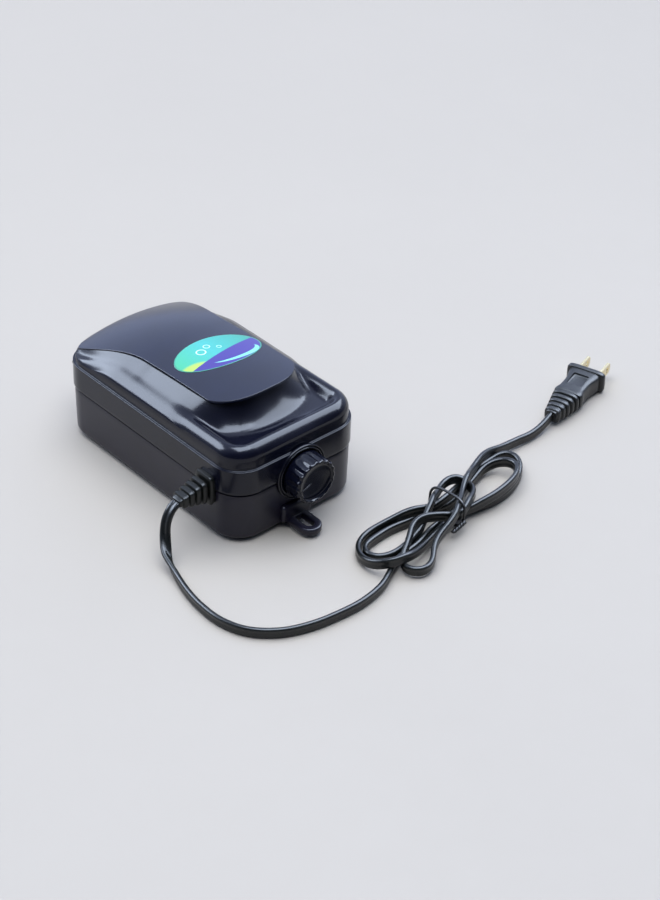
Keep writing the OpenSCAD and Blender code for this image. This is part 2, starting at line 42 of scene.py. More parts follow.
# Driving sizes, in millimetres: x to the right, -y to the knob, z up from the floor
HALF_W, HALF_L, CORNER_R = 45.0, 75.0, 17.5  # case plan at the seam
BASE_TOP, SEAM_Z = 30.62, 32.2  # the dark line between the two halves lies between these
LEDGE_Z = 47.0  # top of the band, where the wall of the rim steps in
WALL_INSET, WALL_FOOT = 1.5, 47.8  # upright wall above the ledge, and the lowest the rim may start
RIM_R = 7.8  # radius of the rounded rim
SHELL = 2.2  # thickness of the upper housing's top
CROWN = 264  # the cover drops x * x / CROWN across its width
COVER_T = 1.6
KNOB_Z, KNOB_R, KNOB_FACE = 32.5, 13.3, -88.2
CORD_EXIT_Y, CORD_EXIT_Z = -52.0, 31.0
CORD_W, CORD_T = 6.0, 3.0
PLUG_Z = 6.75  # middle of the plug above the floor


# ---------------------------------------------------------------- camera
def make_camera():
    az, el, roll = math.radians(-42.62), math.radians(36.05), math.radians(1.84)
    back = Vector((math.sin(az) * math.cos(el), -math.cos(az) * math.cos(el), math.sin(el)))
    right = Vector((math.cos(az), math.sin(az), 0))
    up = back.cross(right)
    r2 = right * math.cos(roll) + up * math.sin(roll)
    u2 = up * math.cos(roll) - right * math.sin(roll)
    # distance and side offsets of the aim, in metres; like the angles, fitted to the photograph
    dist, tx, ty = 1.4324, -0.06597, 0.00163
    pos = back * dist - r2 * tx + u2 * ty + Vector((0, 0, 0.002))
    cam = bpy.data.objects.new("camera", bpy.data.cameras.new("camera"))
    bpy.context.scene.collection.objects.link(cam)
    cam.matrix_world = Matrix(((r2.x, u2.x, back.x, pos.x), (r2.y, u2.y, back.y, pos.y),
                               (r2.z, u2.z, back.z, pos.z), (0, 0, 0, 1)))
    cam.data.sensor_width = 36
    cam.data.lens = 104
    cam.data.clip_start, cam.data.clip_end = 0.01, 50
    bpy.context.scene.camera = cam


# ---------------------------------------------------------------- mesh helpers
def mesh_obj(name, verts, faces, mat=None, smooth=True):
    me = bpy.data.meshes.new(name)
    me.from_pydata([tuple(v) for v in verts], [], faces)
    me.validate()
    bm = bmesh.new()
    bm.from_mesh(me)
    bmesh.ops.recalc_face_normals(bm, faces=bm.faces)
    bm.to_mesh(me)
    bm.free()
    ob = bpy.data.objects.new(name, me)
    bpy.context.scene.collection.objects.link(ob)
    if smooth:
        for p in me.polygons:
            p.use_smooth = True
    if mat:
        me.materials.append(mat)
    return ob


def loft(rings, cap0=True, cap1=True, closed=False):
    """Faces between rings of equal length; caps are fans round a middle point."""
    n = len(rings[0])
    verts = [v for r in rings for v in r]
    faces = []
    m = len(rings)
    for i in range(m if closed else m - 1):
        a0, b0 = i * n, ((i + 1) % m) * n
        for k in range(n):
            k2 = (k + 1) % n
            faces.append((a0 + k, a0 + k2, b0 + k2, b0 + k))
    if not closed:
        for flag, i in ((cap0, 0), (cap1, m - 1)):
            if flag:
                c = np.mean(np.array(rings[i]), axis=0)
                verts.append(tuple(c))
                j = len(verts) - 1
                for k in range(n):
                    faces.append((i * n + k, i * n + (k + 1) % n, j))
    return verts, faces


def join(name, parts, mat=None):
    """One mesh object from several (verts, faces) lists."""
    vv, ff = [], []
    for v, f in parts:
        o = len(vv)
        vv += [tuple(p) for p in v]
        ff += [tuple(i + o for i in q) for q in f]
    return mesh_obj(name, vv, ff, mat)


def modify(ob, kind, **kw):
    m = ob.modifiers.new(kind.lower(), kind)
    for k, v in kw.items():
        setattr(m, k, v)
    return m


def apply_all(ob):
    bpy.context.view_layer.update()
    dg = bpy.context.evaluated_depsgraph_get()
    me = bpy.data.meshes.new_from_object(ob.evaluated_get(dg))
    ob.modifiers.clear()
    ob.data = me
    return ob


def cut(ob, cutters):
    for c in cutters:
        modify(ob, "BOOLEAN", operation="DIFFERENCE", object=c, solver="EXACT")
    apply_all(ob)
    for c in cutters:
        bpy.data.objects.remove(c, do_unlink=True)
    return ob


def smooth_by_angle(ob, deg=35):
    me = ob.data
    bm = bmesh.new()
    bm.from_mesh(me)
    lim = math.radians(deg)
    for e in bm.edges:
        e.smooth = not (len(e.link_faces) == 2 and e.calc_face_angle(0) > lim)
    for f in bm.faces:
        f.smooth = True
    bm.to_mesh(me)
    bm.free()


def tube(c0, c1, r, n=40):
    """Closed cylinder mesh between two points, for cutting."""
    c0, c1 = Vector(c0), Vector(c1)
    t = (c1 - c0).normalized()
    u = t.orthogonal().normalized()
    w = t.cross(u)
    ring = [[tuple(c + (u * math.cos(a) + w * math.sin(a)) * r)
             for a in (2 * math.pi * k / n for k in range(n))] for c in (c0, c1)]
    return loft(ring)


def box_cut(lo, hi):
    x0, y0, z0 = lo
    x1, y1, z1 = hi
    v = [(x, y, z) for z in (z0, z1) for x, y in ((x0, y0), (x1, y0), (x1, y1), (x0, y1))]
    f = [(0, 3, 2, 1), (4, 5, 6, 7), (0, 1, 5, 4), (1, 2, 6, 5), (2, 3, 7, 6), (3, 0, 4, 7)]
    return v, f


def rounded_box(lo, hi, r, seg=4):
    v, f = box_cut(lo, hi)
    ob = mesh_obj("tmp", v, f)
    bm = bmesh.new()
    bm.from_mesh(ob.data)
    bmesh.ops.bevel(bm, geom=bm.edges[:], offset=r, segments=seg, affect="EDGES", profile=0.5)
    out = ([tuple(p.co) for p in bm.verts], [tuple(p.index for p in q.verts) for q in bm.faces])
    bm.free()
    bpy.data.objects.remove(ob, do_unlink=True)
    return out


# ---------------------------------------------------------------- materials
def material(name, color, rough=0.5, metallic=0.0, coat=0.0, coat_rough=0.1, spec=0.5, sheen=0.0,
             noise_scale=900.0, rough_var=0.06, tint=0.15, bump=0.0, bump_scale=1500.0,
             transmission=0.0, stretch=(1, 1, 1)):
    """Procedural plastic, rubber or metal: colour drift, gloss drift and a fine surface bump."""
    m = bpy.data.materials.new(name)
    m.use_nodes = True
    nt = m.node_tree
    b = nt.nodes["Principled BSDF"]
    b.inputs["Metallic"].default_value = metallic
    b.inputs["Coat Weight"].default_value = coat
    b.inputs["Coat Roughness"].default_value = coat_rough
    b.inputs["Specular IOR Level"].default_value = spec
    b.inputs["Sheen Weight"].default_value = sheen
    b.inputs["Transmission Weight"].default_value = transmission
    tc = nt.nodes.new("ShaderNodeTexCoord")
    mp = nt.nodes.new("ShaderNodeMapping")
    mp.inputs["Scale"].default_value = stretch
    nt.links.new(tc.outputs["Object"], mp.inputs["Vector"])

    def noise(scale, detail):
        n = nt.nodes.new("ShaderNodeTexNoise")
        n.inputs["Scale"].default_value = scale
        n.inputs["Detail"].default_value = detail
        nt.links.new(mp.outputs["Vector"], n.inputs["Vector"])
        return n.outputs["Fac"]

    ramp = nt.nodes.new("ShaderNodeValToRGB")
    for stop, place, gain in zip(ramp.color_ramp.elements, (0.3, 0.7), (1 - tint, 1 + tint)):
        stop.position = place
        stop.color = (*[min(1, c * gain) for c in color], 1)
    nt.links.new(noise(noise_scale * 0.08, 4), ramp.inputs["Fac"])
    nt.links.new(ramp.outputs["Color"], b.inputs["Base Color"])
    gloss = nt.nodes.new("ShaderNodeMapRange")
    gloss.inputs["To Min"].default_value = max(0.02, rough - rough_var)
    gloss.inputs["To Max"].default_value = min(1, rough + rough_var)
    nt.links.new(noise(noise_scale, 3), gloss.inputs["Value"])
    nt.links.new(gloss.outputs["Result"], b.inputs["Roughness"])
    if bump:
        bp = nt.nodes.new("ShaderNodeBump")
        bp.inputs["Strength"].default_value = bump
        bp.inputs["Distance"].default_value = 0.0001
        nt.links.new(noise(bump_scale, 2), bp.inputs["Height"])
        nt.links.new(bp.outputs["Normal"], b.inputs["Normal"])
    return m


MAT = dict(
    lower=material("lower_case_plastic", (0.0085, 0.0078, 0.0185), 0.3, spec=0.36, rough_var=0.02,
                   bump=0.12, bump_scale=1800),
    upper=material("upper_case_plastic", (0.0032, 0.0040, 0.0115), 0.2, spec=0.27, rough_var=0.015,
                   coat=0.1, bump=0.03, bump_scale=300),
    panel=material("panel_plastic", (0.0045, 0.0070, 0.0235), 0.25, rough_var=0.015,
                   bump=0.03, bump_scale=500),
    knob=material("knob_plastic", (0.0024, 0.0032, 0.0095), 0.15, spec=0.3, rough_var=0.015,
                  coat=0.08, coat_rough=0.08, bump=0.02, bump_scale=400),
    ring=material("ring_plastic", (0.003, 0.0038, 0.010), 0.2, spec=0.3, rough_var=0.015),
    cord=material("cord_pvc", (0.0040, 0.0054, 0.0054), 0.3, spec=0.42, rough_var=0.08,
                  coat=0.08, coat_rough=0.25, bump=0.2, bump_scale=900),
    plug=material("plug_pvc", (0.006, 0.007, 0.0072), 0.38, rough_var=0.08,
                  coat=0.05, coat_rough=0.3, bump=0.3, bump_scale=2600),
    boot=material("boot_pvc", (0.0045, 0.0055, 0.0048), 0.34, spec=0.32,
                  coat=0.03, coat_rough=0.3, bump=0.25, bump_scale=2400),
    tie=material("tie_plastic", (0.008, 0.008, 0.009), 0.35, bump=0.2, bump_scale=2500),
    blade=material("blade_metal", (0.72, 0.62, 0.38), 0.25, metallic=1, bump=0.2, bump_scale=1800,
                   stretch=(1, 1, 6)),
    steel=material("zinc_steel", (0.55, 0.56, 0.58), 0.33, metallic=1, bump=0.2, bump_scale=2500),
    pot=material("pressed_steel", (0.42, 0.42, 0.44), 0.4, metallic=1, bump=0.3, bump_scale=1200),
    board=material("solder_mask", (0.02, 0.14, 0.06), 0.35, bump=0.15, bump_scale=600, tint=0.25),
    wire=material("wire_pvc", (0.45, 0.02, 0.015), 0.4, bump=0.1),
    core=material("silicon_steel", (0.16, 0.16, 0.17), 0.45, metallic=0.8, bump=1.0,
                  stretch=(0.05, 0.05, 2.2)),
    bobbin=material("nylon", (0.62, 0.58, 0.45), 0.5, bump=0.2),
    copper=material("copper_wire", (0.55, 0.2, 0.07), 0.3, metallic=0.9, bump=1.0,
                    bump_scale=2600, stretch=(0.1, 1, 0.1)),
    arm=material("acetal", (0.6, 0.6, 0.62), 0.45, bump=0.15),
    magnet=material("ferrite", (0.035, 0.035, 0.04), 0.5, metallic=0.4, bump=0.3),
    rubber=material("soft_rubber", (0.015, 0.015, 0.015), 0.6, bump=0.4, bump_scale=1800),
    feet=material("foot_rubber", (0.02, 0.02, 0.021), 0.65, bump=0.5, bump_scale=2200),
    chamber=material("chamber_plastic", (0.6, 0.6, 0.6), 0.4, bump=0.15),
    hose=material("silicone", (0.6, 0.64, 0.64), 0.35, transmission=0.3, bump=0.1),
    outlet=material("outlet_plastic", (0.012, 0.012, 0.016), 0.25, coat=0.3, bump=0.05),
    felt=material("felt", (0.62, 0.6, 0.52), 0.95, sheen=0.4, bump=1.0, bump_scale=1600),
    cap=material("cap_plastic", (0.014, 0.014, 0.017), 0.4, bump=0.2),
)


def label_material():
    """Printed sticker: colour fields only, split by straight and curved edges, under clear film."""
    m = bpy.data.materials.new("label_print")
    m.use_nodes = True
    nt = m.node_tree
    b = nt.nodes["Principled BSDF"]
    for socket, value in (("Roughness", 0.32), ("Coat Weight", 0.15), ("Coat Roughness", 0.12)):
        b.inputs[socket].default_value = value
    tc = nt.nodes.new("ShaderNodeTexCoord")
    sep = nt.nodes.new("ShaderNodeSeparateXYZ")
    nt.links.new(tc.outputs["UV"], sep.inputs["Vector"])

    def math_node(op, a, c, clamp=False):
        n = nt.nodes.new("ShaderNodeMath")
        n.operation = op
        n.use_clamp = clamp
        for i, v in enumerate((a, c)):
            if isinstance(v, (int, float)):
                n.inputs[i].default_value = v
            else:
                nt.links.new(v, n.inputs[i])
        return n.outputs[0]

    def line(a, c, d, soft=60.0):
        """1 where a*u + c*v > d."""
        s = math_node("ADD", math_node("MULTIPLY", sep.outputs[0], a),
                      math_node("MULTIPLY", sep.outputs[1], c))
        return math_node("MULTIPLY", math_node("SUBTRACT", s, d), soft, True)

    def disc(cu, cv, ru, rv, soft=14.0):
        du = math_node("DIVIDE", math_node("SUBTRACT", sep.outputs[0], cu), ru)
        dv = math_node("DIVIDE", math_node("SUBTRACT", sep.outputs[1], cv), rv)
        d = math_node("ADD", math_node("MULTIPLY", du, du), math_node("MULTIPLY", dv, dv))
        return math_node("MULTIPLY", math_node("SUBTRACT", 1.0, d), soft, True)

    def mix(fac, a, c):
        n = nt.nodes.new("ShaderNodeMix")
        n.data_type = "RGBA"
        nt.links.new(fac, n.inputs[0])
        for i, v in ((6, a), (7, c)):
            if isinstance(v, tuple):
                n.inputs[i].default_value = (*v, 1)
            else:
                nt.links.new(v, n.inputs[i])
        return n.outputs[2]

    def both(a, c):
        return math_node("MULTIPLY", a, c)

    def without(c):
        return math_node("SUBTRACT", 1.0, c)

    # u runs along the long axis (-1 left to 1 right), v across (-1 front to 1 back)
    u, v = sep.outputs[0], sep.outputs[1]
    fade = nt.nodes.new("ShaderNodeMapRange")
    fade.inputs["From Min"].default_value = -1
    fade.inputs["From Max"].default_value = 1
    nt.links.new(u, fade.inputs["Value"])
    ramp = nt.nodes.new("ShaderNodeValToRGB")
    field = ramp.color_ramp.elements
    field[0].color = (0.045, 0.46, 0.25, 1)
    field[1].color = (0.02, 0.30, 0.23, 1)
    field.new(0.45).color = (0.04, 0.43, 0.42, 1)
    nt.links.new(fade.outputs["Result"], ramp.inputs["Fac"])
    col = ramp.outputs["Color"]
    # yellow-green corner at the left end of the band
    col = mix(disc(-0.78, -0.50, 0.42, 0.40, 2.0), col, (0.40, 0.62, 0.10))
    # blue-violet band across the front right
    col = mix(line(0.42, -1.0, 0.14), col, (0.040, 0.024, 0.27))
    # pale crescent inside the band
    crescent = both(disc(0.22, -0.42, 0.62, 0.44), without(disc(0.12, -0.26, 0.68, 0.46)))
    col = mix(crescent, col, (0.20, 0.66, 0.62))
    # three plain bubbles on the teal field
    for cu, cv, r in ((-0.30, 0.28, 0.11), (-0.08, 0.48, 0.075), (0.12, 0.22, 0.055)):
        bubble = both(disc(cu, cv, r, r * 1.75, 8), without(disc(cu, cv, r * 0.78, r * 1.36, 8)))
        col = mix(bubble, col, (0.62, 0.95, 0.92))
    # dark green outline
    from_middle = math_node("ADD", both(u, u), both(v, v))
    edge = math_node("MULTIPLY", math_node("SUBTRACT", from_middle, 0.945), 60, True)
    col = mix(edge, col, (0.02, 0.30, 0.20))
    nt.links.new(col, b.inputs["Base Color"])
    return m


# ---------------------------------------------------------------- cord
# the route in millimetres: the loose lead from the boot, the hank, the stretch to the plug. Points on the
# strands were picked by hand in the photograph, their heights guessed, and a scratch program placed them on
# the floor with the fitted camera. Most were then adjusted; a third of the hank's are as the program gave
# them
LEAD = [(-60, -52, 30.6), (-64.5, -52, 30), (-69.2, -52, 27), (-73, -52.6, 20.5), (-75.8, -55.5, 13),
        (-79.5, -62, 6.6), (-83, -74, 3.4), (-87, -88, 3.2), (-89, -102, 3.2), (-88.5, -117, 3.2),
        (-83, -131, 3.2), (-71, -142, 3.2), (-56, -148, 3.2), (-40, -150.5, 3.2),
        (-24, -151, 3.2), (-8, -148, 3.2), (4, -142, 3.2), (11, -138, 3.2)]
# two rounds of the hank, then the small crossing loops
HANK = [(20, -135.5, 3.2), (30, -133, 3.2), (42, -130, 3.2), (53, -128, 3.2), (64, -127, 3.2),
        (76, -130, 3.2), (86, -132, 3.2), (97, -132, 3.4), (107, -129, 3.6), (115, -125, 4.2),
        (121, -120, 5), (124, -114, 5.5), (123, -108, 5.5), (117, -105, 5), (108, -105, 5),
        (95, -109, 5.5), (82, -114, 7), (68, -119, 9), (58, -119, 9.5),
        (49, -118, 9), (40, -115, 7.5), (32, -112, 6), (23, -110.5, 4.5), (14, -111, 4),
        (6, -115, 4), (1, -121, 4.5), (-1, -129, 5.5), (1, -137, 7.5), (6, -142, 9),
        (13, -144, 9.5), (23, -142, 8), (34, -138, 6), (45, -134, 5), (55, -131, 5),
        (63, -129, 6), (72, -132, 8), (83, -134, 9), (95, -133, 9.5),
        (106, -130, 9.5), (114, -125, 9), (116, -119, 9), (113, -113, 8), (107, -110, 6.5),
        (99, -110, 5), (88, -113, 4), (77, -117, 4), (66, -120, 4),
        (55, -118, 3.5), (42, -116, 3.2), (29, -115, 3.2), (18, -116, 3.2), (8, -118, 3.2),
        (4.5, -123, 3.2), (7, -129, 3.4), (15, -132.5, 4), (24, -133, 5),
        (30, -132.5, 6.5), (36, -130, 9), (43, -126, 10.5), (50, -122, 11.5), (60, -117, 11.5),
        (70, -111, 11),
        (79, -110.5, 11), (84, -118, 10.5), (79, -126.5, 10.5), (70, -132, 11), (61, -135, 12),
        (53, -134.5, 13), (47, -131, 13), (41, -127.5, 12), (34, -128, 11), (26, -133, 9.5),
        (18, -137, 8), (12.5, -142, 6.5), (12, -149, 5.5), (18.5, -153.5, 5), (26.5, -150.5, 5.5),
        (32.5, -144.5, 7), (38, -141.5, 9), (45.5, -140, 11), (53, -138, 12.5), (61, -133, 12.5),
        (69, -127, 12), (76, -121, 11.5), (85, -115, 11)]
TAIL = [(97, -108.5, 9.5), (108, -105, 8.5), (120, -103, 6.4), (133, -101.8, 4.6),
        (145, -102.5, 3.6), (156, -101.5, 4.4), (166, -99, 6), (170, -98, 6.3)]


def spline(points, step):
    """Even points along a Catmull-Rom curve through the given ones."""
    p = np.array(points, float)
    p = np.vstack([2 * p[0] - p[1], p, 2 * p[-1] - p[-2]])
    out = []
    for i in range(1, len(p) - 2):
        a, b, c, d = p[i - 1:i + 3]
        t = np.linspace(0, 1, 24, endpoint=False)[:, None]
        out.append(0.5 * ((2 * b) + (c - a) * t + (2 * a - 5 * b + 4 * c - d) * t ** 2 +
                          (3 * b - a - 3 * c + d) * t ** 3))
    out = np.vstack(out + [p[-2][None]])
    s = np.concatenate([[0], np.cumsum(np.linalg.norm(np.diff(out, axis=0), axis=1))])
    n = int(round(s[-1] / step)) + 1
    q = np.linspace(0, s[-1], n)
    return np.stack([np.interp(q, s, out[:, k]) for k in range(3)], axis=1)


# how far apart the strands of the hank stay, and how high the lowest lies
CLEAR_SIDE, CLEAR_UP, LOWEST = 3.5, 6.1, 3.05


def settle(p, first, rounds=300):
    """Lets the strands of the hank push each other apart and rest on the floor."""
    stiff, tight, homing, weight = 0.45, 0.04, 0.03, 0.02
    p = p.copy()
    n = len(p)
    home = p.copy()
    idx = np.arange(n)
    far = np.abs(idx[:, None] - idx[None, :]) > 5
    sx, sz = CLEAR_SIDE, CLEAR_UP
    free = (idx > first) & (idx < n - 14)
    rest = np.linalg.norm(np.diff(p, axis=0), axis=1)
    for _ in range(rounds):
        d = p[:, None, :] - p[None, :, :]
        flat = (d[..., 0] ** 2 + d[..., 1] ** 2) / sx ** 2 + d[..., 2] ** 2 / sz ** 2
        hit = far & (flat < 1)
        q = np.sqrt(np.where(hit, flat, 1.0))
        w = np.where(hit, (1 - q), 0.0)
        away = np.stack([d[..., 0] / sx ** 2, d[..., 1] / sx ** 2, d[..., 2] / sz ** 2], axis=-1)
        ln = np.linalg.norm(away, axis=-1)
        away = away / np.maximum(ln, 1e-9)[..., None]
        push = (away * (w * 1.5)[..., None]).sum(axis=1)
        push = push / np.maximum(1, np.linalg.norm(push, axis=1))[:, None]
        move = push * 0.9
        lap = np.zeros_like(p)
        lap[1:-1] = (p[:-2] + p[2:]) / 2 - p[1:-1]
        bend = np.zeros_like(p)
        bend[1:-1] = (lap[:-2] + lap[2:]) / 2 - lap[1:-1]
        move += -bend * stiff + lap * tight + (home - p) * homing
        move[:, 2] -= weight
        p[free] += move[free]
        # keep each step its own length
        for _ in range(3):
            seg = np.diff(p, axis=0)
            ls = np.linalg.norm(seg, axis=1)
            corr = ((ls - rest) / np.maximum(ls, 1e-6))[:, None] * seg * 0.3
            m = np.zeros_like(p)
            m[:-1] += corr
            m[1:] -= corr
            p[free] += m[free]
        p[:, 2] = np.where(free, np.maximum(p[:, 2], LOWEST), p[:, 2])
    return p


def section():
    """Outline of the flat twin cord: two cores side by side with a groove between them."""
    pts = []
    r, g = CORD_T / 2, CORD_W / 2 - CORD_T / 2
    for s in (1, -1):
        for k in range(9):
            a = math.radians(-78 + 156 * k / 8)
            pts.append((s * (g + r * math.cos(a)), s * r * math.sin(a)))
        pts.append((s * 0.75, s * r * 0.86))
        pts.append((0.0, s * r * 0.70))
        pts.append((-s * 0.75, s * r * 0.86))
    return pts


def sweep(path, leans, sec, ends=True):
    """Carries a section along the path; the width axis turns slowly towards upright."""
    n = len(path)
    rings = []
    w = None
    for i in range(n):
        t = path[min(n - 1, i + 1)] - path[max(0, i - 1)]
        t /= np.linalg.norm(t)
        goal = np.array([0.0, 0.0, 1.0]) * (1 - leans[i]) + np.array([0.0, 1.0, 0.0]) * leans[i]
        goal = goal - t * goal.dot(t)
        if w is None:
            w = goal / np.linalg.norm(goal)
        w = w - t * w.dot(t)
        w /= np.linalg.norm(w)
        g = goal if goal.dot(w) >= 0 else -goal
        w = w * 0.8 + g * 0.2
        w = w - t * w.dot(t)
        w /= np.linalg.norm(w)
        v = np.cross(t, w)
        rings.append([tuple((path[i] + w * a + v * b) * MM) for a, b in sec])
    return loft(rings, ends, ends)


def make_cord():
    step = 2.4
    route = spline(LEAD + HANK + TAIL, step)
    lead_len = len(spline(LEAD, step))
    route = settle(route, lead_len - 4)
    # a smoother, finer line for the mesh
    fine = spline([tuple(q) for q in route], 1.2)
    for _ in range(4):
        fine[1:-1] = fine[1:-1] * 0.5 + (fine[:-2] + fine[2:]) * 0.25
    n = len(fine)
    leans = [max(0.0, 1 - i / 30) for i in range(n)]
    v, f = sweep(fine, leans, section())
    ob = mesh_obj("mains_cord", v, f, MAT["cord"])
    length = float(np.linalg.norm(np.diff(fine, axis=0), axis=1).sum()) * MM
    return ob, fine * MM, length


def make_tie(fine):
    """Plastic covered wire wrapped round the middle of the hank, with its ends twisted together."""
    turn = math.radians(5.6)
    along = np.array([math.cos(turn), math.sin(turn), 0.0])
    over = np.array([-math.sin(turn), math.cos(turn), 0.0])
    c = np.array([60.0, -124.5, 0.0])
    near = [p for p in fine / MM if abs(along.dot(p - c)) < 3 and -145 < p[1] < -105]
    across = [over.dot(p - c) for p in near]
    lo, hi = min(across) - 2.6, max(across) + 2.6
    bottom, top = 0.9, max(p[2] for p in near) + 3.9
    w, h = (hi - lo) / 2, (top - bottom) / 2
    pts = []
    for k in range(64):
        co, si = math.cos(2 * math.pi * k / 64), math.sin(2 * math.pi * k / 64)
        squarish = 0.62
        u = math.copysign(abs(co) ** squarish, co) * w + (hi + lo) / 2
        z = math.copysign(abs(si) ** squarish, si) * h + (top + bottom) / 2
        pts.append(c + over * u + along * 1.2 * si + np.array([0, 0, z]))
    wire = 0.75
    sec = [(wire * math.cos(2 * math.pi * k / 10), wire * math.sin(2 * math.pi * k / 10)) for k in range(10)]
    rings = []
    for i, p in enumerate(pts):
        t = pts[(i + 1) % len(pts)] - pts[i - 1]
        t /= np.linalg.norm(t)
        s = along - t * along.dot(t)
        s /= np.linalg.norm(s)
        v = np.cross(t, s)
        rings.append([tuple((p + s * a + v * b) * MM) for a, b in sec])
    parts = [loft(rings, closed=True)]
    # twisted ends, lying against the near side of the bundle
    base = c + over * (lo - 0.4) + np.array([0, 0, 6.5])
    for phase in (0.0, math.pi):
        line = []
        for k in range(60):
            s = k / 59
            ang = phase + s * 5 * math.pi
            line.append(base + np.array([-10 * s, -0.6 - 1.2 * s, -1.6 * s]) +
                        0.62 * np.array([0.1 * math.cos(ang), math.cos(ang), math.sin(ang)]))
        parts.append(sweep(np.array(line), [0] * 60, sec))
    return join("hank_tie", parts, MAT["tie"])


# ---------------------------------------------------------------- case shapes
def outline(inset, nc=14, nx=26, ny=44):
    """Points round the case plan, anticlockwise from the front right, at a given inset."""
    cx, cy, r = HALF_W - CORNER_R, HALF_L - CORNER_R, CORNER_R - inset
    pts = []
    for sx, sy, a0 in ((1, -1, -90), (1, 1, 0), (-1, 1, 90), (-1, -1, 180)):
        for k in range(nc + 1):
            a = math.radians(a0 + 90 * k / nc)
            pts.append((sx * cx + r * math.cos(a), sy * cy + r * math.sin(a)))
        x0, y0 = pts[-1]
        m = ny if (sx, sy) in ((1, -1), (-1, 1)) else nx
        x1, y1 = {(1, -1): (x0, cy), (1, 1): (-cx, y0), (-1, 1): (x0, -cy), (-1, -1): (cx, y0)}[(sx, sy)]
        for k in range(1, m):
            pts.append((x0 + (x1 - x0) * k / m, y0 + (y1 - y0) * k / m))
    return pts


def ss(t):
    """Smooth step from 0 to 1."""
    t = min(1.0, max(0.0, t))
    return t * t * (3 - 2 * t)


def panel_mid(y):
    """Height of the cover plate along its middle."""
    return 71.8 - 0.0006 * (y + 44) ** 2 - 0.0031 * max(0.0, y - 20) ** 2


def panel_half(y):
    """Half width of the cover plate."""
    w = 29.1 + 8 * ss((y - 20) / 50)
    if y > 57.5:
        w = min(w, 27.5 + math.sqrt(max(0.0, 16.1 ** 2 - (y - 57.5) ** 2)) - 1.2)
    elif y > 50:
        w = min(w, 42)
    return w


def cover_z(x, y):
    """Top surface of the cover plate."""
    return panel_mid(y) - x * x / CROWN


def rim_top(y):
    return 59.8 - 0.020 * (y + 64) - 8.2 * ss((y - 30) / 44)


def surface(x, y, d):
    """Height of the upper housing inside its walls; d is the distance in from the upright wall."""
    zt = rim_top(y)
    r = min(RIM_R, zt - WALL_FOOT)
    # the rim rounds over and, towards the front, drops into a moat
    moat = ss((-14 - y) / 34)
    depth = 5.2 * moat
    q = min(1.0, d / r)
    rim = zt - r + r * math.sqrt(max(0.0, 1 - (1 - q) ** 2)) - depth * ss((d - 0.62 * r) / 8.5)
    # the raised middle stands on the floor of the moat and carries the cover
    floor = zt - depth - 2.2 * (1 - moat)
    back = ss((y - 12) / 38)
    top = cover_z(x, y) - 2.0 + 1.7 * back
    yy = min(0.0, y + 25)
    foot, nose_len, n = 36.5 + 4.6 * ss((y + 40) / 24), 34, 2.25
    e = ((abs(x) / foot) ** n + (abs(yy) / nose_len) ** n) ** (1 / n)
    side = math.cos(math.atan2(abs(yy) / nose_len, abs(x) / foot + 1e-9)) ** 2
    inner = (min(27.0 + 12 * back, panel_half(y) - 1.2) / foot) * side + 0.52 * (1 - side)
    u = max(0.0, (e - inner) / (1 - inner))
    # flanks are gently convex; the nose falls steeply under the cover, then flares out
    flank = 1 - (0.62 * u + 0.38 * u * u) if u < 1 else -1.3 * (u - 1)
    nose = (1 - u) ** 1.75 if u < 1 else 0.0
    w = side ** 1.5
    mound = floor + (max(top, floor) - floor) * (flank * w + nose * (1 - w))
    mound += 0.5 * (1 - ss((e - 1.0) / 0.05)) * ss((-14 - y) / 12) * (1 - w)
    # the two meet in a small fillet
    fillet = 2.4
    hi, lo = max(rim, mound), min(rim, mound)
    if hi - lo < fillet:
        hi += (fillet - (hi - lo)) ** 2 / (4 * fillet)
    return hi


